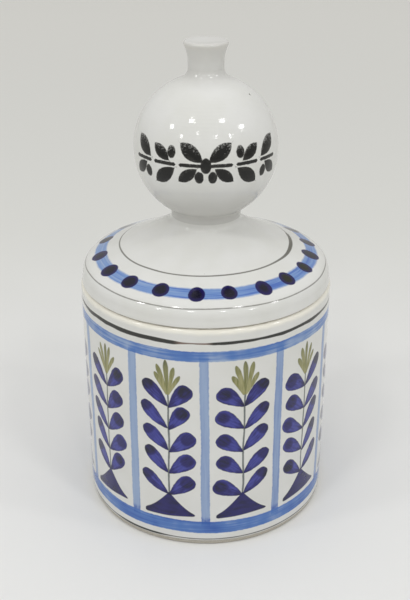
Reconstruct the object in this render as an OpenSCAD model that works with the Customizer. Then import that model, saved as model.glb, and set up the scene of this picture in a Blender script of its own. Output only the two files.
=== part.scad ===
// Lidded storage jar in glazed earthenware, with a ball knob on its lid.
// Units are millimetres. The jar stands on z = 0 with its axis on Z, and the
// side that is seen from the front faces -Y.

/* [Jar] */
// Outer diameter of the jar
jar_d = 120; // [105:1:140]
// Height from the table to the top of the mouth
jar_h = 116; // [90:1:150]
// Thickness of the wall
wall_t = 5.5; // [4.5:0.5:8]
// Thickness of the floor
floor_t = 6; // [4:0.5:10]
// Fillet inside, where the wall meets the floor
heel_r = 4; // [2:0.5:6]

/* [Foot ring] */
// Height of the foot ring, which lifts the floor off the table
foot_h = 3; // [2:0.5:6]
// Width of the ring that touches the table
foot_w = 9; // [5:0.5:14]
// Step in from the wall to the foot ring
foot_inset = 0.6; // [0.2:0.1:1.5]
// Rounding of the foot ring's two lower edges
foot_edge_r = 1.2; // [0.5:0.1:1.8]

/* [Mouth rim] */
// Height of the rim above the glazed wall
rim_h = 5; // [4:0.5:8]
// Rounding of the rim's outer shoulder
rim_shoulder_r = 2.6; // [1.5:0.1:3]
// Rounding of the rim's inner lip
rim_lip_r = 1; // [0.5:0.1:1.2]

/* [Lid] */
// Outer diameter of the lid at its lower edge
lid_d = 118.6; // [110:0.2:126]
// Height of the lid's upright side, below its rounded shoulder
side_h = 4.2; // [3:0.1:8]
// How far the side leans in over that height
side_lean = 0.5; // [0:0.1:1.2]
// Rounding of the lid's lower edge
lid_edge_r = 1; // [0.5:0.1:1.4]
// Rounding of the shoulder, where the side turns into the top
shoulder_r = 7; // [5:0.5:9]
// Slope of the top at the shoulder, in degrees
shoulder_slope = 22; // [18:1:25]
// Slope of the top at the neck, in degrees
neck_slope = 28; // [27:1:34]
// Thickness of the lid's top
lid_t = 5; // [4:0.5:6.5]
// Rounding inside the lid, where the hollow meets the side
hollow_r = 3; // [1:0.5:5]

/* [Locating ring] */
// Depth that the ring reaches down into the mouth
ring_h = 10; // [6:0.5:16]
// Thickness of the ring
ring_t = 4; // [3:0.5:6]
// Clearance all round between the ring and the jar's wall
ring_gap = 1.2; // [0.6:0.1:2]
// Rounding of the ring's two lower edges
ring_edge_r = 1.2; // [0.5:0.1:1.4]

/* [Ball knob] */
// Diameter of the ball
ball_d = 66; // [56:0.2:76]
// Thickness of the ball's wall
ball_t = 5; // [3.5:0.5:8]
// Diameter of the neck between lid and ball
neck_d = 32.6; // [28:0.2:40]
// Height of the neck's straight part
neck_h = 1.3; // [0.8:0.1:4]
// Fillets above and below the neck
neck_fillet = 4; // [2:0.1:5]
// Diameter of the pinhole that vents the hollow ball in firing
vent_d = 1.2; // [0.8:0.1:2]
// Direction of the pinhole round the axis, in degrees from +X
vent_azimuth = 337; // [0:1:359]
// Height of the pinhole above the ball's middle, in degrees
vent_elevation = 51; // [20:1:60]

/* [Finial] */
// Diameter of the finial's waist
waist_d = 16; // [12:0.2:18]
// Diameter of the finial's top
finial_d = 19.8; // [18.8:0.2:24]
// Height of the finial above the ball's fillet
finial_h = 11.6; // [11:0.1:16]
// Fillet between the ball and the finial
finial_fillet = 5; // [3:0.5:7]
// Height over which the finial flares out
flare_h = 8.5; // [6:0.5:9]
// Rounding of the finial's top edge
finial_edge_r = 1.2; // [0.6:0.1:1.6]
// Depth of the shallow dish in the finial's top
dish_depth = 0.4; // [0.2:0.1:1.2]

/* [Hidden] */
$fn = 96;
// Straight steps in each quarter turn of a profile's arc
quarter_steps = 18;
// How far a cut runs past the surface it cuts
past = 1;

// Jar
jar_r = jar_d / 2;
mouth_r = jar_r - wall_t;
floor_r = mouth_r - heel_r;
floor_z = foot_h + floor_t;
rim_z = jar_h - rim_h;

// Lid, from the seat up
lid_r = lid_d / 2;
seat_z = jar_h;
side_top = [lid_r - side_lean, seat_z + side_h];
shoulder_c = side_top - [shoulder_r, 0];
top_start = shoulder_c + shoulder_r * [sin(shoulder_slope), cos(shoulder_slope)];
neck_r = neck_d / 2;
top_end_r = neck_r + neck_fillet * (1 - sin(neck_slope));
top_r = (top_start.x - top_end_r) / (sin(neck_slope) - sin(shoulder_slope));
top_c = top_start + top_r * [sin(shoulder_slope), cos(shoulder_slope)];
neck_fillet_c = top_c - (top_r - neck_fillet) * [sin(neck_slope), cos(neck_slope)];
neck_z = neck_fillet_c.y;

// Hollow under the lid, inside the locating ring
ring_outer_r = mouth_r - ring_gap;
hollow_wall_r = ring_outer_r - ring_t;
under_r = top_r + lid_t;
hollow_c_r = hollow_wall_r - hollow_r;
hollow_reach = under_r + hollow_r;
hollow_lean = asin((top_c.x - hollow_c_r) / hollow_reach);
hollow_c = [hollow_c_r, top_c.y - hollow_reach * cos(hollow_lean)];
ceiling_end = top_c - under_r * [sin(neck_slope), cos(neck_slope)];

// Ball, whose centre follows from the fillet that meets the neck
ball_r = ball_d / 2;
lower_reach = ball_r + neck_fillet;
lower_angle = acos((neck_r + neck_fillet) / lower_reach);
lower_fillet_c = [neck_r + neck_fillet, neck_z + neck_h];
ball_z = lower_fillet_c.y + lower_reach * sin(lower_angle);
waist_r = waist_d / 2;
upper_reach = ball_r + finial_fillet;
upper_angle = acos((waist_r + finial_fillet) / upper_reach);
upper_fillet_c = [waist_r + finial_fillet, ball_z + upper_reach * sin(upper_angle)];

// Finial
finial_z = upper_fillet_c.y;
finial_top_z = finial_z + finial_h;
finial_r = finial_d / 2;
lip_c = [finial_r - finial_edge_r, finial_top_z - finial_edge_r];
// The flare is an arc from the upright waist to the lip, which it meets at half this angle's slope
flare_out = finial_r - waist_r;
flare_angle = 2 * atan(flare_out / flare_h);
flare_r = flare_h / sin(flare_angle);
flare_c = [waist_r + flare_r, lip_c.y - flare_h];
// The dish is part of a large ball
dish_rim_r = lip_c.x;
dish_r = (pow(dish_rim_r, 2) + pow(dish_depth, 2)) / (2 * dish_depth);

// Points along an arc round c, from angle a0 to angle a1
function arc(c, r, a0, a1) =
    let (steps = max(2, ceil(abs(a1 - a0) / 90 * quarter_steps)))
    [for (i = [0 : steps])
        let (a = a0 + (a1 - a0) * i / steps)
        c + r * [cos(a), sin(a)]];

// The cylinder that holds the food, with a thicker toe pressed onto the floor disc
module jar_wall() {
    color([0.93, 0.93, 0.91])
    rotate_extrude()
    polygon(concat(
        [[floor_r, foot_h], [jar_r, foot_h], [jar_r, rim_z], [mouth_r, rim_z]],
        arc([floor_r, floor_z + heel_r], heel_r, 0, -90)));
}

// Round floor disc, let into the foot of the wall
module jar_floor() {
    color([0.90, 0.90, 0.87])
    translate([0, 0, foot_h])
    cylinder(r = floor_r, h = floor_t);
}

// Bare turned ring that the jar stands on
module foot_ring() {
    outer_r = jar_r - foot_inset;
    inner_r = outer_r - foot_w;
    color([0.85, 0.80, 0.70])
    rotate_extrude()
    polygon(concat(
        [[inner_r, foot_h]],
        arc([inner_r + foot_edge_r, foot_edge_r], foot_edge_r, 180, 270),
        arc([outer_r - foot_edge_r, foot_edge_r], foot_edge_r, 270, 360),
        [[outer_r, foot_h]]));
}

// Cream rim round the mouth, which the lid sits on
module mouth_rim() {
    color([0.93, 0.90, 0.82])
    rotate_extrude()
    polygon(concat(
        [[mouth_r, rim_z], [jar_r, rim_z]],
        arc([jar_r - rim_shoulder_r, jar_h - rim_shoulder_r], rim_shoulder_r, 0, 90),
        arc([mouth_r + rim_lip_r, jar_h - rim_lip_r], rim_lip_r, 90, 180)));
}

// Cover with an upright side and a top that sweeps up to the neck
module lid_dome() {
    color([0.94, 0.94, 0.92])
    rotate_extrude()
    polygon(concat(
        [[hollow_wall_r, seat_z]],
        arc([lid_r - lid_edge_r, seat_z + lid_edge_r], lid_edge_r, -90, 0),
        arc(shoulder_c, shoulder_r, 0, 89 - shoulder_slope),
        arc(top_c, top_r, 270 - shoulder_slope, 270 - neck_slope),
        arc(neck_fillet_c, neck_fillet, 269 - neck_slope, 180),
        [[0, neck_z], [0, ceiling_end.y]],
        arc(top_c, under_r, 270 - neck_slope, 270 - hollow_lean),
        arc(hollow_c, hollow_r, 89 - hollow_lean, 0)));
}

// Ring under the lid that drops into the mouth and keeps the lid central
module locating_ring() {
    color([0.90, 0.89, 0.85])
    rotate_extrude()
    polygon(concat(
        [[hollow_wall_r, seat_z]],
        arc([hollow_wall_r + ring_edge_r, seat_z - ring_h + ring_edge_r], ring_edge_r, 180, 270),
        arc([ring_outer_r - ring_edge_r, seat_z - ring_h + ring_edge_r], ring_edge_r, 270, 360),
        [[ring_outer_r, seat_z]]));
}

// Hollow ball on its neck, vented by a pinhole
module ball_knob() {
    color([0.95, 0.95, 0.93])
    difference() {
        rotate_extrude()
        polygon(concat(
            [[0, neck_z], [neck_r, neck_z]],
            arc(lower_fillet_c, neck_fillet, 180, 180 - lower_angle),
            arc([0, ball_z], ball_r, 1 - lower_angle, upper_angle - 1),
            arc(upper_fillet_c, finial_fillet, 180 + upper_angle, 180),
            [[0, finial_z]]));
        translate([0, 0, ball_z])
        sphere(r = ball_r - ball_t);
        translate([0, 0, ball_z])
        rotate([0, 90 - vent_elevation, vent_azimuth])
        translate([0, 0, ball_r - ball_t - past])
        cylinder(d = vent_d, h = ball_t + 2 * past);
    }
}

// Small flared grip on top of the ball, with a shallow dish in its top
module knob_finial() {
    color([0.95, 0.95, 0.93])
    difference() {
        rotate_extrude()
        polygon(concat(
            [[0, finial_z], [waist_r, finial_z]],
            arc(flare_c, flare_r, 180, 180 - flare_angle),
            arc(lip_c, finial_edge_r, 5, 90),
            [[0, finial_top_z]]));
        translate([0, 0, finial_top_z - dish_depth + dish_r])
        sphere(r = dish_r);
    }
}

jar_wall();
jar_floor();
foot_ring();
mouth_rim();
lid_dome();
locating_ring();
ball_knob();
knob_finial();
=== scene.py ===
import math

import bpy
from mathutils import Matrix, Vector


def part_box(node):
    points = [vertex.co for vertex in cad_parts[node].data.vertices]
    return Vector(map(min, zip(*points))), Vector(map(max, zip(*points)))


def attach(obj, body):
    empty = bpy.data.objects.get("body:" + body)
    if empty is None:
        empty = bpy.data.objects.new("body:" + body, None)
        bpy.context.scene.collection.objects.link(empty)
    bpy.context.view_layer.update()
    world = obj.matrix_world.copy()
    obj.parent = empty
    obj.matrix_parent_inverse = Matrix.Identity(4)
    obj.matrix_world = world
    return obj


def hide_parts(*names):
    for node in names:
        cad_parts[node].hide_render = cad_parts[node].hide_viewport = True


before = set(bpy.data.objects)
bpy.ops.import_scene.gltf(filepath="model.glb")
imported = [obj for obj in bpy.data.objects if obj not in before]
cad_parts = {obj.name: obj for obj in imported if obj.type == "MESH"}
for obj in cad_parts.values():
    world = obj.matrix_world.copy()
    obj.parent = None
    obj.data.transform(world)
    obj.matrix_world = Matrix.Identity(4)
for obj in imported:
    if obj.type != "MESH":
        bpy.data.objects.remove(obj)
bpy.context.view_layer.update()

# Jar floor
# The real floor is a round disc of earthenware, pressed into the foot of the wall with slip
# and fired with it. White glaze is poured over it inside the jar, and pools at its edge.
mm = 0.001
turn_steps = 192
longest_edge = 3 * mm
arc_step = 3
weld = 0.01 * mm
uneven_grain = 45 * mm
uneven_depth = 0.5 * mm
crease_angle = math.radians(35)


def step(start, distance, angle):
    """The point (radius, height) at a distance from start, at an angle in degrees."""
    turned = math.radians(angle)
    return (start[0] + distance * math.cos(turned), start[1] + distance * math.sin(turned))


def arc(centre, radius, start, end):
    """Points (radius, height) round a centre, from one angle to another, in degrees."""
    length = radius * math.radians(abs(end - start))
    steps = max(2, math.ceil(abs(end - start) / arc_step), math.ceil(length / longest_edge))
    return [step(centre, radius, start + (end - start) * i / steps) for i in range(steps + 1)]


def turn(name, outline):
    """A round piece of clay. Its outline is drawn edge by edge, as on a lathe's template, and spun
    about the axis. An outline that doesn't start on the axis is closed to a ring."""
    if outline[0][0] > 0:
        outline = outline + outline[:1]
    bpy.ops.object.select_all(action="DESELECT")
    bpy.ops.mesh.primitive_plane_add(size=longest_edge)
    piece = bpy.context.object
    piece.name = name
    piece.data.name = name
    bpy.ops.object.mode_set(mode="EDIT")
    bpy.ops.mesh.merge(type="CENTER")
    bpy.ops.transform.translate(value=(outline[0][0], 0, outline[0][1]))
    for (r0, z0), (r1, z1) in zip(outline, outline[1:]):
        steps = max(1, math.ceil(math.hypot(r1 - r0, z1 - z0) / longest_edge))
        move = ((r1 - r0) / steps, 0, (z1 - z0) / steps)
        for _ in range(steps):
            bpy.ops.mesh.extrude_vertices_move(TRANSFORM_OT_translate={"value": move})
    bpy.ops.mesh.select_all(action="SELECT")
    bpy.ops.mesh.spin(steps=turn_steps, angle=math.tau, center=(0, 0, 0), axis=(0, 0, 1))
    bpy.ops.mesh.select_all(action="SELECT")
    bpy.ops.mesh.remove_doubles(threshold=weld)
    bpy.ops.mesh.normals_make_consistent(inside=False)
    bpy.ops.object.mode_set(mode="OBJECT")
    return piece


def out_of_round(piece):
    """The slight unevenness of clay turned by hand. All pieces share one field, so they still fit."""
    for axis, depth in (("X", 2), ("Y", 3)):
        swell = bpy.data.textures.new(f"{piece.name} swell {axis}", "CLOUDS")
        swell.noise_scale = uneven_grain
        swell.noise_depth = depth
        push = piece.modifiers.new(f"swell {axis}", "DISPLACE")
        push.texture = swell
        push.direction = axis
        push.strength = uneven_depth
        bpy.ops.object.modifier_apply(modifier=push.name)


def fire(piece, node, body, finish):
    """The finished piece: smoothed, glazed, riding on its body and standing for its solid."""
    bpy.context.view_layer.objects.active = piece
    out_of_round(piece)
    bpy.ops.object.shade_smooth_by_angle(angle=crease_angle)
    piece.data.materials.append(finish.material)
    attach(piece, body)
    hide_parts(node)


class Field:
    """A number, vector or colour that varies over a surface. Sums with it add nodes to its finish."""

    def __init__(self, finish, socket):
        self.finish = finish
        self.socket = socket

    def math(self, operation, *others):
        values = dict(enumerate((self,) + others))
        return self.finish.node("Math", {"operation": operation}, values)

    def __add__(self, other):
        return self.math("ADD", other)

    def __sub__(self, other):
        return self.math("SUBTRACT", other)

    def __rsub__(self, other):
        return self.finish.node("Math", {"operation": "SUBTRACT"}, {0: other, 1: self})

    def __mul__(self, other):
        return self.math("MULTIPLY", other)

    def __truediv__(self, other):
        return self.math("DIVIDE", other)

    def __pow__(self, other):
        return self.math("POWER", other)

    def __mod__(self, other):
        return self.math("FLOORED_MODULO", other)

    def __abs__(self):
        return self.math("ABSOLUTE")

    def __neg__(self):
        return self * -1

    def __gt__(self, other):
        return self.math("GREATER_THAN", other)

    def __lt__(self, other):
        return self.math("LESS_THAN", other)

    __radd__ = __add__
    __rmul__ = __mul__

    def limit(self, low=0, high=1):
        """The value, held between two numbers."""
        return self.math("MAXIMUM", low).math("MINIMUM", high)

    def ease(self, start, end):
        """0 before start and 1 after end, or the other way round, with a soft way between."""
        sockets = {"Value": self, "From Min": start, "From Max": end}
        return self.finish.node("MapRange", {"interpolation_type": "SMOOTHSTEP"}, sockets)


class Finish:
    """The finish of a piece: one shader, and fields, in millimetres, that vary it over the surface."""

    def __init__(self, name):
        self.material = bpy.data.materials.new(name)
        self.material.use_nodes = True
        self.shader = self.material.node_tree.nodes["Principled BSDF"]
        place = self.node("TexCoord", {}, {}, "Object")
        self.place = self.node("VectorMath", {"operation": "SCALE"}, {0: place, "Scale": 1 / mm})
        self.x, self.y, self.z = self.parts(self.place)
        self.radius = (self.x * self.x + self.y * self.y).math("SQRT")
        self.bearing = self.x.math("ARCTAN2", -self.y)
        self.hump = None

    def node(self, kind, settings, sockets, output=0):
        """Any node: its type, its settings, what its sockets are fed, and the output wanted."""
        made = self.material.node_tree.nodes.new("ShaderNode" + kind)
        for name, value in settings.items():
            setattr(made, name, value)
        for name, value in sockets.items():
            self.feed(made.inputs[name], value)
        return Field(self, made.outputs[output])

    def feed(self, socket, value):
        """Links a field to a socket, or sets a plain value on it."""
        if isinstance(value, Field):
            self.material.node_tree.links.new(value.socket, socket)
        else:
            socket.default_value = value

    def parts(self, vector):
        """The three numbers in a vector or colour."""
        split = self.node("SeparateXYZ", {}, {0: vector}).socket.node
        return [Field(self, output) for output in split.outputs]

    def vector(self, x, y, z):
        """A vector made of three numbers or fields."""
        return self.node("CombineXYZ", {}, {0: x, 1: y, 2: z})

    def cloud(self, grain, detail=2, place=None):
        """Soft noise from about -1 to 1, whose lumps are one grain wide, or (x, y, z) grains."""
        if place is None:
            place = self.place
        if isinstance(grain, tuple):
            stretch = [1 / g for g in grain]
            place = self.node("VectorMath", {"operation": "MULTIPLY"}, {0: place, 1: stretch})
            grain = 1
        sockets = {"Vector": place, "Scale": 1 / grain, "Detail": detail}
        return self.node("TexNoise", {}, sockets) * 4 - 2

    def luck(self, a, b, c):
        """Three numbers from -1 to 1 that differ for every stroke (a, b, c) of the brush."""
        spot = self.vector(a, b, c)
        colour = self.node("TexWhiteNoise", {"noise_dimensions": "3D"}, {"Vector": spot}, "Color")
        return [part * 2 - 1 for part in self.parts(colour)]

    def mix(self, share, under, over):
        """One colour laid over another, as far as the share says."""
        return self.node("Mix", {"data_type": "RGBA"}, {0: share, 6: under, 7: over}, 2)

    def brush(self, colour, cover):
        """A layer of paint on the piece's colour."""
        self.colour = self.mix(cover, self.colour, colour)

    def swell(self, height, depth):
        """Raises the surface by a field, as far as depth, in millimetres. Calls pile up."""
        sockets = {"Height": height, "Distance": depth * mm, "Strength": 1}
        if self.hump is not None:
            sockets["Normal"] = self.hump
        self.hump = self.node("Bump", {}, sockets)

    def close(self, roughness):
        """Feeds the finished colour, a roughness and the piled-up bumps to the shader."""
        self.feed(self.shader.inputs["Base Color"], self.colour)
        self.feed(self.shader.inputs["Roughness"], roughness)
        self.feed(self.shader.inputs["Normal"], self.hump)


def shade(red, green, blue):
    """A colour as it is read on a screen, from 0 to 255, turned into the light that it reflects."""
    def light(level):
        level = level / 255
        return level / 12.92 if level < 0.04045 else ((level + 0.055) / 1.055) ** 2.4
    return (light(red), light(green), light(blue), 1)


white = shade(226, 226, 223)
thin_white = shade(221, 221, 216)
iron_brown = shade(120, 112, 98)
speck_gap = 11
speck_rim = (0.035, 0.018)
speck_rarity = 0.72
pit_depth = 0.05
peel_depth = 0.03
fine_peel_depth = 0.003
glaze_ior = 1.5
glaze_shine = 0.4
glaze_roughness = 0.1


def glaze(name, tint, thin_tint, peel=1):
    """White tin glaze over pale clay: softly mottled, with orange peel, pits and a few iron specks."""
    finish = Finish(name)
    finish.colour = finish.mix(finish.cloud(17, 3).ease(-0.9, 0.9), thin_tint, tint)
    cells = finish.node("TexVoronoi", {}, {"Vector": finish.place, "Scale": 1 / speck_gap})
    rare, size, _ = finish.parts(Field(finish, cells.socket.node.outputs["Color"]))
    speck = cells.ease(*speck_rim) * (rare > speck_rarity) * size
    finish.brush(iron_brown, speck * 0.75)
    finish.swell(finish.cloud(9, 1), peel_depth * peel)
    finish.swell(finish.cloud(1.6, 2), fine_peel_depth * peel)
    finish.swell(-speck, pit_depth)
    finish.shader.inputs["IOR"].default_value = glaze_ior
    finish.shader.inputs["Specular IOR Level"].default_value = glaze_shine
    return finish


def gloss(finish, roughness):
    """The roughness of a fired glaze, a little uneven."""
    return finish.cloud(6, 2) * 0.02 + roughness


def plain_glaze(name, tint, thin_tint):
    """Tin glaze with no paint on it."""
    finish = glaze(name, tint, thin_tint)
    finish.close(gloss(finish, glaze_roughness))
    return finish


floor_low, floor_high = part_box("jar_floor")
floor_glaze = plain_glaze("pooled white glaze", white, thin_white)
floor_disc = turn("jar_floor_disc", [
    (0, floor_low.z), (floor_high.x, floor_low.z), (floor_high.x, floor_high.z), (0, floor_high.z)])
fire(floor_disc, "jar_floor", "jar", floor_glaze)

# Jar wall
# The real wall is a turned cylinder of earthenware, dipped in white tin glaze. The stripes, bars
# and leafy sprigs are painted on the raw glaze with a soft brush and sink into it in the kiln.
# All paint is placed in millimetres, and bearings are in radians from the middle of the front.
wall_low, wall_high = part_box("jar_wall")
jar_r = wall_high.x
wall_t = 5.5 * mm
mouth_r = jar_r - wall_t
heel_r = mouth_r - floor_high.x
jar_wall = turn("jar_wall_turned", [
    (floor_high.x, wall_low.z), (jar_r, wall_low.z), (jar_r, wall_high.z), (mouth_r, wall_high.z)]
    + arc((floor_high.x, floor_high.z + heel_r), heel_r, 0, -90))

pale_blue = shade(150, 171, 204)
band_blue = shade(80, 121, 188)
deep_blue = shade(40, 86, 170)
leaf_light = shade(64, 68, 156)
leaf_blue = shade(30, 26, 100)
leaf_dark = shade(12, 12, 44)
olive_light = shade(156, 152, 100)
olive = shade(122, 122, 70)
olive_dark = shade(92, 96, 66)
stem_green = shade(84, 92, 92)
line_black = shade(18, 19, 13)
line_brown = shade(118, 98, 88)

panels = 11
panel_turn = math.tau / panels
panel_w = panel_turn * jar_r / mm
front_spread = 0.026
bar_half = 2.0
bar_lean = 0.012
bar_middle_z = 55
top_band = (100.5, 105.7)
low_band = (7.2, 14.0)
top_line_z = 109.6
top_line_half = 0.74
top_line_worn = -0.09
top_line_heavy = -0.65
low_line_z = 3.7
low_line_half = 0.33
low_line_pressed = -0.55
soft_edge = 0.35

leaf_pairs = 5
first_leaf_z = 28.3
leaf_pitch = 12.0
leaf_rise = 0.82
leaf_angle = 0.85
leaf_length = 16.8
leaf_half = 3.45
leaf_bow = 1.8
leaf_end = 1 / 40
stem_half = 0.42
foot_half = 12.2
foot_z = (17.0, 28.6)
tuft_z = 82.8
tuft_strokes = 2
tuft_step = math.radians(15)
tuft_length = 16.6
tuft_half = 1.3


def stroke_mask(across, half, soft=soft_edge):
    """How far the paint of a stroke covers: 1 within its half width, 0 outside, with a soft edge."""
    return ((half - abs(across)) / soft + 0.5).limit()


def band_mask(height, band, soft=0.4):
    """The same for a stroke that runs between two heights, or between two radii."""
    return stroke_mask(height - (band[0] + band[1]) / 2, (band[1] - band[0]) / 2, soft)


def leaf(wall, panel, side, inner, reach, number):
    """One leaf, a single press of the brush from its tip in to the stem. Gives its cover and tone.
    It is fuller and blunter on the side of its stem that is nearer to the middle of the front."""
    number = number.limit(0, leaf_pairs - 1)
    lift, tilt, size = wall.luck(panel, side, number)
    rise = wall.z - (first_leaf_z + leaf_pitch * number + lift * 0.6)
    angle = leaf_angle - inner * (1 - side) * 0.11 + tilt * 0.11
    length = leaf_length - inner * 1.2 + size * 0.7
    half = leaf_half + inner * (0.5 - tilt * 0.35) - size * 0.25
    along = ((reach * angle.math("COSINE") + rise * angle.math("SINE")) / length).limit()
    bow = (size + 0.3) * leaf_bow
    across = rise * angle.math("COSINE") - reach * angle.math("SINE") + bow * along * (1 - along)
    streak = wall.cloud(1, 2, wall.vector(along * 3, across * 0.9, number * 5 + panel))
    blunt = 2.4 + inner * 1.8
    full = (1 - along ** blunt).math("SQRT") * along ** 0.75 / (0.46 + blunt * 0.05)
    width = half * full
    cover = ((width - abs(across) + wall.tremble * 0.12) / soft_edge + 0.3).limit()
    cover = cover * (along / leaf_end).limit() * ((1 - along) / leaf_end).limit()
    spot = 0.86 - inner * 0.1
    pool = ((along - spot) * length / 3.0) ** 2 + (across / (3.6 - inner * 0.9)) ** 2
    edge = abs(across) / (width + 0.4)
    tone = edge ** 3 * 0.32 + (0.3 - along).limit(0, 0.3) * 1.7 + streak * 0.2 + 0.3
    tone = tone + (pool + lift * 0.3 + streak * 0.2).ease(1.7, 0.3) * (0.46 + tilt * 0.1)
    return cover, tone


def sprig(wall, panel, reach_signed):
    """The leafy sprig in a panel: pairs of leaves on a thin stem, a painted foot and a tuft on top.
    A point can lie on the nearest leaf or on the next one up or down, so both are worked out."""
    side = reach_signed.math("SIGN")
    reach = abs(reach_signed)
    inner = (side * wall.bearing.math("SIGN")) < 0
    row = (wall.z - first_leaf_z - reach * leaf_rise) / leaf_pitch + 0.5
    nearest = row.math("FLOOR")
    neighbour = nearest + (row - nearest - 0.5).math("SIGN")
    cover_a, tone_a = leaf(wall, panel, side, inner, reach, nearest)
    cover_b, tone_b = leaf(wall, panel, side, inner, reach, neighbour)

    stem_cover = stroke_mask(reach_signed + wall.sway * 0.25, stem_half + wall.tremble * 0.06)
    stem_cover = stem_cover * band_mask(wall.z, (foot_z[1] - 1, tuft_z + 1))
    wall.brush(stem_green, stem_cover * 0.9)

    share = (1 - reach / foot_half).limit()
    tip = ((reach - foot_half + 1.3) / 1.5).limit()
    blunt = 1 - (1 - tip * tip).math("SQRT")
    roof = foot_z[0] + 1.2 + (foot_z[1] - foot_z[0]) * share ** 1.35 - blunt * 1.2
    ground = foot_z[0] - 1.1 + wall.sway * 0.5 + reach_signed * 0.05 + blunt * 1.0
    foot_cover = ((roof - wall.z) / 0.4).limit() * ((wall.z - ground) / 0.4).limit()
    foot_cover = foot_cover * ((foot_half + 0.2 - reach) / 0.3).limit()
    foot_tone = wall.cloud((6, 6, 2)) * 0.16 + 0.72 + (reach / foot_half) ** 4 * 0.2

    tuft(wall, panel, reach_signed)

    leaves = cover_a.math("MAXIMUM", cover_b)
    tone = cover_a * tone_a + (1 - cover_a) * tone_b
    tone = tone + (foot_tone - tone) * foot_cover
    tone = tone + cover_a * cover_b * 0.15
    cover = leaves.math("MAXIMUM", foot_cover)
    blue = wall.mix(tone.ease(0.15, 0.62), leaf_light, leaf_blue)
    blue = wall.mix(tone.ease(0.6, 1.0), blue, leaf_dark)
    wall.brush(blue, cover * 0.985)


def tuft(wall, panel, reach):
    """The tuft on a sprig: short strokes of olive green that fan out from its top."""
    rise = wall.z - tuft_z
    fan = reach.math("ARCTAN2", rise)
    stroke = (fan / tuft_step + 0.5).math("FLOOR").limit(-tuft_strokes, tuft_strokes)
    swing, length, width = wall.luck(panel, stroke, 9)
    off = fan - stroke * tuft_step - swing * 0.035
    far = (reach * reach + rise * rise).math("SQRT")
    length = tuft_length - stroke * stroke + length * 1.1
    along = far * off.math("COSINE") / length
    across = far * off.math("SINE")
    body = along.limit(0, 1)
    blunt = ((1 - body ** 4).math("SQRT") * 1.25).limit()
    half = (tuft_half + width * 0.2) * (0.72 + body * 0.36) * blunt
    cover = ((half - abs(across)) / soft_edge).limit() * (off.math("COSINE") > 0)
    grain = wall.cloud((0.8, 0.8, 6))
    seam = (abs(across) / half).limit() ** 3
    tone = grain * 0.2 + body ** 3 * 0.35 + (1 - abs(stroke)).limit() * 0.25 + 0.2 + seam * 0.15
    green = wall.mix(tone.ease(0.1, 0.5), olive_light, olive)
    green = wall.mix(tone.ease(0.5, 1.0), green, olive_dark)
    wall.brush(green, cover * (0.94 + grain * 0.05))


def paint_wall():
    """The whole painting on the wall, from the lines at its top to the line at its foot."""
    wall = glaze("painted wall glaze", white, thin_white)
    outside = wall.radius > (jar_r + mouth_r) / 2 / mm
    wall.sway = wall.cloud(26, 1)
    wall.tremble = wall.cloud(1.8, 1)

    turned = (wall.bearing - wall.bearing.math("SINE") * front_spread) / panel_turn
    bar = (turned + 0.5).math("FLOOR")
    panel = turned.math("FLOOR")
    reach = (turned - panel - 0.5) * panel_w
    panel = panel % panels
    bare = wall.colour
    sprig(wall, panel, reach + wall.sway * 0.5)

    lean, dark, _ = wall.luck(bar % panels, 3, 5)
    slant = (wall.z - bar_middle_z) * bar_lean * lean
    off_bar = (turned - bar) * panel_w + lean * 0.5 + slant + wall.sway * 0.3
    brush_down = wall.cloud((1.1, 1.1, 18))
    bars = stroke_mask(off_bar, bar_half + wall.tremble * 0.12 + wall.sway * 0.15)
    bars = bars * band_mask(wall.z, (low_band[1] - 2.6, top_band[0] + 2.4), 1.5)
    bar_tone = 0.46 + brush_down * 0.24 + (abs(off_bar) / bar_half) ** 3 * 0.25 + dark * 0.14
    bar_foot = wall.z.ease(low_band[1] + 3.5, low_band[1] + 0.5)
    bar_tone = bar_tone + bar_foot * (0.6 + wall.tremble * 0.3)
    bar_blue = wall.mix(bar_tone.ease(0.15, 1.55), pale_blue, deep_blue)
    wall.brush(bar_blue, bars * 0.96)

    brush_round = wall.cloud((26, 26, 0.9))
    patch = wall.cloud(13, 2)
    wave = wall.sway * 0.3 + wall.tremble * 0.12
    bands = band_mask(wall.z + wave, top_band).math("MAXIMUM", band_mask(wall.z + wave, low_band))
    low = wall.z < bar_middle_z
    band_tone = 0.4 + brush_round * 0.26 + patch * 0.38 + low * 0.2 + bars * 0.12
    blue = wall.mix(band_tone.ease(0.0, 0.55), pale_blue, band_blue)
    blue = wall.mix(band_tone.ease(0.45, 1.1), blue, deep_blue)
    wall.brush(blue, bands * 0.98)

    dip = wall.cloud((13, 13, 40), 2)
    worn = abs(wall.bearing - top_line_worn).ease(0.16, 0.08)
    top_line = wall.z - top_line_z + wall.sway * 0.35 + dip * 0.2
    heavy = (wall.bearing - top_line_heavy).math("COSINE").ease(0.86, 0.97)
    thick = top_line_half + heavy * 0.3 + dip * 0.18 - worn * 0.26
    black = wall.mix(worn, line_black, line_brown)
    wall.brush(black, stroke_mask(top_line, thick, 0.3) * 0.96)
    low_line = wall.z - low_line_z + wall.sway * 0.12
    pressed = (wall.bearing - low_line_pressed).math("COSINE").ease(0.95, 0.995)
    low_half = low_line_half + pressed * 0.2 + dip * 0.06
    wall.brush(line_black, stroke_mask(low_line, low_half, 0.3) * (0.75 + pressed * 0.2))

    wall.colour = wall.mix(outside, bare, wall.colour)
    wall.close(gloss(wall, glaze_roughness))
    return wall


fire(jar_wall, "jar_wall", "jar", paint_wall())

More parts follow.
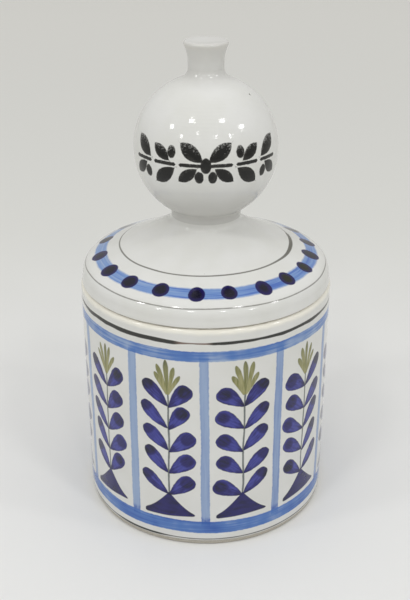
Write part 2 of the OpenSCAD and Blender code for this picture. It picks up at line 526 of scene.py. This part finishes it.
# Foot ring
# The ring that the jar stands on is wiped bare of glaze before firing, so that it doesn't stick to
# the kiln shelf. It is buff clay, ground smooth where it touches the table and grey with use.
_, foot_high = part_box("foot_ring")
foot_r = foot_high.x
foot_w = 9 * mm
foot_edge = 1.2 * mm
foot_ring = turn("foot_ring_turned", [(foot_r - foot_w, foot_high.z)]
    + arc((foot_r - foot_w + foot_edge, foot_edge), foot_edge, 180, 270)
    + arc((foot_r - foot_edge, foot_edge), foot_edge, 270, 360)
    + [(foot_r, foot_high.z)])

clay_dark = shade(172, 166, 152)
clay_pale = shade(196, 191, 180)
clay_grey = shade(150, 144, 134)
grain_depth = 0.03


def bare_clay():
    """Unglazed buff clay, with turning lines, sandy grain and grey wear on the resting face."""
    clay = Finish("bare buff clay")
    sand = clay.cloud(0.5, 3)
    lines = clay.cloud((30, 30, 0.35))
    clay.colour = clay.mix((sand * 0.5 + lines * 0.3 + 0.5).limit(), clay_dark, clay_pale)
    worn = clay.z.ease(0.5, 0.1) * (clay.cloud(3, 3) * 0.3 + 0.5).limit()
    clay.brush(clay_grey, worn)
    clay.swell(sand, grain_depth)
    clay.swell(lines, grain_depth)
    clay.close(clay.cloud(2, 2) * 0.06 + 0.82)
    return clay


fire(foot_ring, "foot_ring", "jar", bare_clay())

# Mouth rim
# The rim is the top of the wall, rounded on the wheel. Its glaze is thin and cream, and over the
# shoulder it is painted lighter than the white, as a painted highlight. The ledge that the lid rests
# on is wiped, so the clay shows yellowish there; it is painted darker too, as painted shade of the
# gap.
rim_low, rim_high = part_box("mouth_rim")
rim_shoulder = 2.6 * mm
rim_lip = 1 * mm
rim_top = rim_high.z
mouth_rim = turn("mouth_rim_turned", [(mouth_r, rim_low.z), (jar_r, rim_low.z)]
    + arc((jar_r - rim_shoulder, rim_top - rim_shoulder), rim_shoulder, 0, 90)
    + arc((mouth_r + rim_lip, rim_top - rim_lip), rim_lip, 90, 180))

cream_and_highlight = shade(244, 240, 226)
ledge_clay_and_gap_shade = shade(158, 146, 122)
cream_below = (3.2, 0.9)
ledge_below = (0.35, 0.05)


def cream_glaze():
    """White glaze that thins to cream over the rim's shoulder, painted lighter than the white there
    as a painted highlight, and yellowish clay on the ledge, darkened as painted shade of the gap.
    """
    rim = glaze("cream rim glaze", white, thin_white)
    ragged = rim.cloud(5, 3) * 0.35
    below = rim_top / mm - rim.z
    # Painted highlight: a cream lighter than the white glaze, over the rounded shoulder.
    rim.brush(cream_and_highlight, (below - ragged).ease(*cream_below) * 0.8)
    ledge = (below - ragged * 0.4).ease(*ledge_below)
    # Clay and painted shade: the ledge is darkened, deepening the gap under the lid.
    rim.brush(ledge_clay_and_gap_shade, ledge * 0.7)
    rim.close(gloss(rim, 0.12) + ledge * 0.4)
    return rim


fire(mouth_rim, "mouth_rim", "jar", cream_glaze())

# Lid dome
# The cover is turned in one with its upright side, and sweeps up to the neck of the ball. A blue
# ring with dark dots runs round it, between a thin grey line at the shoulder and one further in.
lid_low, lid_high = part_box("lid_dome")
ring_low, ring_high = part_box("locating_ring")
lid_r = lid_high.x
seat_z = lid_low.z
neck_z = lid_high.z
neck_r = 16.3 * mm
side_h = 4.2 * mm
side_lean = 0.5 * mm
lid_edge = 1 * mm
shoulder_r = 7 * mm
shoulder_slope = 22
neck_slope = 28
neck_fillet = 4 * mm
lid_t = 5 * mm
ring_t = 4 * mm
hollow_wall_r = ring_high.x - ring_t
hollow_r = 3 * mm
arc_gap = 1

shoulder_sine = math.sin(math.radians(shoulder_slope))
neck_sine = math.sin(math.radians(neck_slope))
shoulder_c = (lid_r - side_lean - shoulder_r, seat_z + side_h)
top_start = step(shoulder_c, shoulder_r, 90 - shoulder_slope)
top_end_r = neck_r + neck_fillet * (1 - neck_sine)
top_r = (top_start[0] - top_end_r) / (neck_sine - shoulder_sine)
top_c = step(top_start, top_r, 90 - shoulder_slope)
neck_fillet_c = step(top_c, top_r - neck_fillet, 270 - neck_slope)
under_r = top_r + lid_t
hollow_lean = math.degrees(math.asin((top_c[0] - hollow_wall_r + hollow_r) / (under_r + hollow_r)))
hollow_c = step(top_c, under_r + hollow_r, 270 - hollow_lean)
ceiling_z = step(top_c, under_r, 270 - neck_slope)[1]
# Where two arcs run into each other, one stops short by arc_gap degrees, so no points lie together.
lid_dome = turn("lid_dome_turned", [(0, ceiling_z)]
    + arc(top_c, under_r, 270 - neck_slope, 270 - hollow_lean)
    + arc(hollow_c, hollow_r, 90 - hollow_lean - arc_gap, 0)
    + [(hollow_wall_r, seat_z)]
    + arc((lid_r - lid_edge, seat_z + lid_edge), lid_edge, -90, 0)
    + arc(shoulder_c, shoulder_r, 0, 90 - shoulder_slope - arc_gap)
    + arc(top_c, top_r, 270 - shoulder_slope, 270 - neck_slope)
    + arc(neck_fillet_c, neck_fillet, 270 - neck_slope - arc_gap, 180)
    + [(0, neck_fillet_c[1])])

lid_blue = shade(108, 143, 198)
lid_deep = shade(58, 100, 182)
dot_navy = shade(26, 18, 82)
dot_black = shade(13, 11, 34)
dot_green = shade(30, 32, 20)
line_grey = shade(76, 74, 64)
seat_gap_shade = shade(140, 128, 106)
lid_band = (47.3, 52.9)
lid_band_soft = 0.9
dots = 18
dot_turn = math.tau / dots
dot_r = 50.0
dot_half = 4.1
dot_first = math.radians(-5)
dot_crowding = 0.17
dot_crowded = math.radians(30)
inner_line_r = 40.6
inner_line_half = 0.34
shoulder_line_z = 124.6
shoulder_line_half = 0.2


def paint_lid():
    """The border on the lid: a ring in pale blue, dark dots pressed on it, and two thin lines."""
    lid = glaze("painted lid glaze", white, thin_white, peel=0.6)
    sway = lid.cloud(26, 1)
    tremble = lid.cloud(1.8, 1)
    top = lid.z > seat_z / mm + 3
    bare = lid.colour

    radius = lid.radius + sway * 0.3
    around = lid.vector(lid.x * 0.04, lid.y * 0.04, lid.radius * 1.1)
    sweep = lid.cloud(1, 2, around)
    fade = lid.cloud(16, 2)
    border = band_mask(radius + tremble * 0.1, lid_band, lid_band_soft)
    tone = 0.48 + sweep * 0.46 + fade * 0.16 + (lid.bearing - 0.75).math("COSINE") * 0.2
    blue = lid.mix(tone.ease(-0.1, 0.5), pale_blue, lid_blue)
    blue = lid.mix(tone.ease(0.5, 1.0), blue, lid_deep)
    lid.brush(blue, border * 0.95)

    crowd = (lid.bearing - dot_crowded).math("SINE") * dot_crowding
    offset = dot_first + dot_crowding * math.sin(dot_first - dot_crowded)
    count = (lid.bearing + crowd - offset) / dot_turn
    dot = (count + 0.5).math("FLOOR")
    slide, drift, size = lid.luck(dot % dots, 2, 7)
    along = (count - dot) * (dot_turn * dot_r) + slide * 0.9
    out = lid.radius - dot_r + drift * 0.5
    half = dot_half + size * 0.3 + sway * 0.1 + tremble * 0.07
    far = (along * along * 0.96 + out * out * (1.12 + slide * 0.12)).math("SQRT")
    cover = ((half - far) / 0.4 + 0.5).limit()
    wet = (far / half) ** 2 + sway * 0.2 + lid.cloud(2.4, 2) * 0.12
    dark = lid.mix(lid.bearing.ease(0.5, 0.85) * lid.bearing.ease(1.5, 1.2), dot_black, dot_green)
    navy = lid.mix(wet.ease(0.1, 0.8), dark, dot_navy)
    lid.brush(navy, cover)

    press = lid.bearing.ease(0.75, 1.5) * lid.bearing.ease(1.86, 1.8)
    inner_line = radius - inner_line_r + (lid.bearing - 1.2).math("COSINE") * 0.3
    inner_half = inner_line_half + press * 0.5 + sway * 0.05
    lid.brush(line_grey, stroke_mask(inner_line, inner_half, 0.3) * (0.8 + press * 0.15))
    shoulder_line = lid.z - shoulder_line_z + sway * 0.25
    shoulder_half = shoulder_line_half + tremble * 0.03
    lid.brush(line_grey, stroke_mask(shoulder_line, shoulder_half, 0.3) * 0.75)

    lid.colour = lid.mix(top, bare, lid.colour)
    # Painted shade: a brownish line along the lid's lower edge, in the gap where it sits on the rim.
    edge = (lid.z + tremble * 0.08).ease(seat_z / mm + 0.9, seat_z / mm + 0.3)
    lid.brush(seat_gap_shade, edge * 0.6)
    lid.close(gloss(lid, glaze_roughness))
    return lid


fire(lid_dome, "lid_dome", "lid", paint_lid())

# Locating ring
# The ring under the lid drops into the mouth and keeps the lid from sliding. It is turned with the
# lid and glazed white, thinner at its lower edges.
ring_r = ring_high.x
ring_edge = 1.2 * mm
ring_foot_z = ring_low.z + ring_edge
locating_ring = turn("locating_ring_turned", [(hollow_wall_r, seat_z)]
    + arc((hollow_wall_r + ring_edge, ring_foot_z), ring_edge, 180, 270)
    + arc((ring_r - ring_edge, ring_foot_z), ring_edge, 270, 360)
    + [(ring_r, seat_z)])
edge_white = shade(212, 209, 198)
ring_glaze = plain_glaze("thin ring glaze", thin_white, edge_white)
fire(locating_ring, "locating_ring", "lid", ring_glaze)

# Ball knob
# The hollow ball is thrown closed on its neck and luted to the lid. A pinhole lets its air out in
# the kiln. A stencilled black sprig of leaves and fruit runs round the side that faces the cook.
_, ball_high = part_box("ball_knob")
finial_low, finial_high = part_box("knob_finial")
ball_r = ball_high.x
ball_t = 5 * mm
neck_h = 1.3 * mm
waist_r = 8 * mm
finial_fillet = 5 * mm
vent_r = 0.6 * mm
vent_azimuth = 337
vent_elevation = 51
vent_sides = 24
cavity_segments = 96
lower_fillet_c = (neck_r + neck_fillet, neck_z + neck_h)
lower_angle = math.degrees(math.acos(lower_fillet_c[0] / (ball_r + neck_fillet)))
ball_z = lower_fillet_c[1] + (ball_r + neck_fillet) * math.sin(math.radians(lower_angle))
upper_angle = math.degrees(math.acos((waist_r + finial_fillet) / (ball_r + finial_fillet)))
upper_fillet_c = step((0, ball_z), ball_r + finial_fillet, upper_angle)
ball_knob = turn("ball_knob_thrown", [(0, neck_z), (neck_r, neck_z)]
    + arc(lower_fillet_c, neck_fillet, 180, 180 - lower_angle)
    + arc((0, ball_z), ball_r, arc_gap - lower_angle, upper_angle - arc_gap)
    + arc(upper_fillet_c, finial_fillet, 180 + upper_angle, 180)
    + [(0, upper_fillet_c[1])])


def cut_away(piece, cutter):
    """Takes the cutter's shape out of a piece, and removes the cutter."""
    bpy.ops.object.select_all(action="DESELECT")
    bpy.context.view_layer.objects.active = piece
    cut = piece.modifiers.new("cut", "BOOLEAN")
    cut.operation = "DIFFERENCE"
    cut.solver = "EXACT"
    cut.object = cutter
    bpy.ops.object.modifier_apply(modifier=cut.name)
    bpy.data.objects.remove(cutter)


bpy.ops.object.select_all(action="DESELECT")
bpy.ops.mesh.primitive_uv_sphere_add(
    segments=cavity_segments, ring_count=cavity_segments // 2,
    radius=ball_r - ball_t, location=(0, 0, ball_z))
cut_away(ball_knob, bpy.context.object)
vent_turn = (0, math.radians(90 - vent_elevation), math.radians(vent_azimuth))
vent_foot = step((0, 0), ball_r - ball_t / 2, vent_elevation)
vent_place = (
    vent_foot[0] * math.cos(vent_turn[2]),
    vent_foot[0] * math.sin(vent_turn[2]),
    ball_z + vent_foot[1])
bpy.ops.object.select_all(action="DESELECT")
bpy.ops.mesh.primitive_cylinder_add(
    vertices=vent_sides, radius=vent_r, depth=2 * ball_t, location=vent_place, rotation=vent_turn)
cut_away(ball_knob, bpy.context.object)

stencil_black = shade(14, 14, 13)
stencil_thin = shade(72, 71, 66)
stencil_mid_z = 180.2
stencil_unit = 12.6
stencil_units = 3
leaf_over = ((1.2, 1.5), (11.6, 9.2), 2.9)
leaf_under = ((3.8, 1.3), (12.3, 7.6), 2.4)
fruit_between = ((2.9, 5.2), 2.0, 2.7)
fruit_middle = ((0, 0), 2.4, 3.4)
stem_thick = 0.8
stem_reach = 4.9
bridge_half = 1.0
shadow_glaze = shade(202, 201, 197)
low_shadow = (172, 156)
top_shadow = (207, 213)


def lens(field_x, field_y, start, end, half):
    """How far a point lies inside a pointed leaf from start to end, in millimetres."""
    length = math.hypot(end[0] - start[0], end[1] - start[1])
    ux, uy = (end[0] - start[0]) / length, (end[1] - start[1]) / length
    dx, dy = field_x - start[0], field_y - start[1]
    along = ((dx * ux + dy * uy) / length).limit()
    across = abs(dy * ux - dx * uy)
    return half * 4 * along * (1 - along) ** 0.9 - across


def oval(field_x, field_y, centre, half_x, half_y):
    """How far a point lies inside an oval, in millimetres: less than 0 outside."""
    dx, dy = (field_x - centre[0]) / half_x, (field_y - centre[1]) / half_y
    return (1 - (dx * dx + dy * dy).math("SQRT")) * min(half_x, half_y)


def paint_ball():
    """The ball's glaze with its stencilled sprig: leaves and olives in turn on both sides of a stem.
    The stencil's thin bridges leave gaps between its units and beside the olive in the middle."""
    ball = glaze("stencilled ball glaze", white, thin_white, peel=0.3)
    blot = ball.cloud(1.1, 3)
    side = ball.bearing * (ball_r / mm)
    up = ball.z - stencil_mid_z
    reach = abs(side)
    unit = (reach / stencil_unit).math("FLOOR").limit(0, stencil_units - 1)
    x = reach - unit * stencil_unit
    flip = 1 - (unit % 2) * 2
    y = up * flip
    shape = lens(x, y, *leaf_over)
    shape = shape.math("MAXIMUM", lens(x, -y, *leaf_under))
    shape = shape.math("MAXIMUM", oval(x, -y, *fruit_between))
    past_stem = (abs(x - stencil_unit / 2) - stem_reach).limit(0, 9)
    shape = shape.math("MAXIMUM", stem_thick - abs(up) - past_stem)
    shape = shape - (bridge_half - reach).limit() * 9
    shape = shape.math("MAXIMUM", oval(side, up, *fruit_middle))
    end = (reach - stencil_unit * stencil_units).ease(0.1, -0.1)
    cover = ((shape + blot * 0.12) / 0.3 + 0.5).limit() * end
    dry = (ball.cloud(0.8, 3) * 0.8 + up.ease(3, 8) * 0.8 - shape * 0.3 - 0.15).limit()
    cover = cover * (1 - dry * (ball.cloud(0.45, 3) + 0.4).limit() * 0.7)
    thin = (ball.cloud(2.5, 3) * 0.5 + 0.35 - shape * 0.3).limit()
    black = ball.mix(thin * 0.6, stencil_black, stencil_thin)
    # Painted shade: greyer glaze under the ball and round the foot of the finial.
    ball.brush(shadow_glaze, ball.z.ease(*low_shadow) * 0.95 + ball.z.ease(*top_shadow) * 0.6)
    ball.brush(black, cover)
    ball.close(gloss(ball, 0.09))
    return ball


fire(ball_knob, "ball_knob", "lid", paint_ball())

# Knob finial
# A small grip that flares upwards, turned with the ball and lightly dished on top. The glaze runs
# thin over its sharp edge, where the clay warms it a little.
finial_r = finial_high.x
finial_top = finial_high.z
flare_h = 8.5 * mm
finial_edge = 1.2 * mm
dish_depth = 0.4 * mm
lip_gap = 5
lip_c = (finial_r - finial_edge, finial_top - finial_edge)
flare_angle = 2 * math.degrees(math.atan((finial_r - waist_r) / flare_h))
flare_r = flare_h / math.sin(math.radians(flare_angle))
flare_c = (waist_r + flare_r, lip_c[1] - flare_h)
dish_r = (lip_c[0] ** 2 + dish_depth ** 2) / (2 * dish_depth)
dish_angle = math.degrees(math.asin(lip_c[0] / dish_r))
knob_finial = turn("knob_finial_turned", [(0, finial_low.z), (waist_r, finial_low.z)]
    + arc(flare_c, flare_r, 180, 180 - flare_angle)
    + arc(lip_c, finial_edge, lip_gap, 90)
    + arc((0, finial_top - dish_depth + dish_r), dish_r, 270 + dish_angle, 270)[1:])

# Painted shade: the finial's whites are greyer than the same glaze elsewhere.
grip_white_shaded = shade(215, 215, 212)
grip_thin_shaded = shade(210, 209, 205)
grip_edge = shade(220, 216, 208)


def finial_glaze():
    """White glaze that thins over the finial's edge, painted a greyer white than the rest as painted
    shade.
    """
    finial = glaze("finial glaze", grip_white_shaded, grip_thin_shaded)
    edge = finial.radius.ease(finial_r / mm - 1.0, finial_r / mm - 0.1)
    finial.brush(grip_edge, edge * (finial.cloud(4, 2) * 0.3 + 0.3).limit())
    finial.close(gloss(finial, 0.11))
    return finial


fire(knob_finial, "knob_finial", "lid", finial_glaze())

# Floor and light
# A pale board in a room lit from its ceiling by a group of round lamps, which show as small
# highlights on the glaze. The camera stands a little above the jar and looks down on it.
board_r = 8
board_sides = 96
near_ring = (60, 420)
far_ring = (300, 1700)
board_near_painted_light = shade(233, 233, 231)
board_middle_painted_shade = shade(223, 223, 218)
board_far_painted_light = shade(234, 233, 227)
room_grey = shade(206, 205, 200)
bpy.ops.object.select_all(action="DESELECT")
bpy.ops.mesh.primitive_circle_add(vertices=board_sides, radius=board_r, fill_type="NGON")
table = bpy.context.object
table.name = "table"
board = Finish("pale board")
# Painted light on the board: lighter round the jar, darker further out, and lighter again far away,
# against the lamps' fall-off.
board.colour = board.mix(board.radius.ease(*near_ring), board_near_painted_light, board_middle_painted_shade)
board.colour = board.mix(board.radius.ease(*far_ring), board.colour, board_far_painted_light)
board.swell(board.cloud(2, 2), 0.01)
board.close(board.cloud(30, 2) * 0.03 + 0.7)
table.data.materials.append(board.material)

lamp_range = 1.6
large_lamp = 0.2
small_lamp = 0.13
lamp_level = 22
lamp_balance = 0.06
lamps = [
    (-66.7, 34.0, large_lamp),
    (-34.1, 54.0, large_lamp),
    (39.3, 51.3, large_lamp),
    (69.3, 32.3, large_lamp),
    (-42.3, 25.0, small_lamp),
    (-13.8, 32.3, small_lamp),
    (17.7, 31.2, small_lamp),
    (42.9, 25.6, small_lamp)]
for number, (bearing, height, size) in enumerate(lamps):
    turn_z = math.radians(bearing)
    tip = math.radians(90 - height)
    flat = lamp_range * math.sin(tip)
    spot = (flat * math.sin(turn_z), -flat * math.cos(turn_z), ball_z + lamp_range * math.cos(tip))
    bpy.ops.object.light_add(type="AREA", location=spot, rotation=(tip, 0, turn_z))
    lamp = bpy.context.object
    lamp.name = f"lamp_{number}"
    lamp.data.shape = "DISK"
    lamp.data.size = size
    level = lamp_level * (1 - lamp_balance * math.sin(turn_z))
    lamp.data.energy = level * math.pi * math.pi * (size / 2) ** 2

light_from = 0.15
low_light = 0.1
top_light = 1.08
world = bpy.data.worlds.new("room")
bpy.context.scene.world = world
world.use_nodes = True
tree = world.node_tree
background = tree.nodes["Background"]
place = tree.nodes.new("ShaderNodeTexCoord")
height = tree.nodes.new("ShaderNodeSeparateXYZ")
tree.links.new(place.outputs["Generated"], height.inputs[0])
ramp = tree.nodes.new("ShaderNodeMapRange")
tree.links.new(height.outputs["Z"], ramp.inputs["Value"])
ramp.inputs["From Min"].default_value = light_from
ramp.inputs["To Min"].default_value = low_light
ramp.inputs["To Max"].default_value = top_light
tree.links.new(ramp.outputs[0], background.inputs["Strength"])
background.inputs["Color"].default_value = (1, 1, 1, 1)
seen = tree.nodes.new("ShaderNodeBackground")
seen.inputs["Color"].default_value = room_grey


def either(first, second):
    """1 where one of two kinds of ray, or both, is 1."""
    larger = tree.nodes.new("ShaderNodeMath")
    larger.operation = "MAXIMUM"
    tree.links.new(first, larger.inputs[0])
    tree.links.new(second, larger.inputs[1])
    return larger.outputs[0]


ray = tree.nodes.new("ShaderNodeLightPath")
mirrored = either(ray.outputs["Is Glossy Ray"], ray.outputs["Is Transmission Ray"])
straight = either(ray.outputs["Is Camera Ray"], mirrored)
choose = tree.nodes.new("ShaderNodeMixShader")
tree.links.new(straight, choose.inputs[0])
tree.links.new(background.outputs[0], choose.inputs[1])
tree.links.new(seen.outputs[0], choose.inputs[2])
tree.links.new(choose.outputs[0], tree.nodes["World Output"].inputs["Surface"])

camera_back = 419.4 * mm
camera_up = 303.7 * mm
camera_dip = 25.73
focal_length = 57.0
sensor_width = 36
image_long_px = 600
axis_right_px = 0.9
bpy.ops.object.camera_add(
    location=(0, -camera_back, camera_up), rotation=(math.radians(90 - camera_dip), 0, 0))
camera = bpy.context.object
camera.data.lens = focal_length
camera.data.sensor_width = sensor_width
camera.data.shift_x = -axis_right_px / image_long_px
bpy.context.scene.camera = camera
bpy.context.scene.view_settings.view_transform = "Standard"
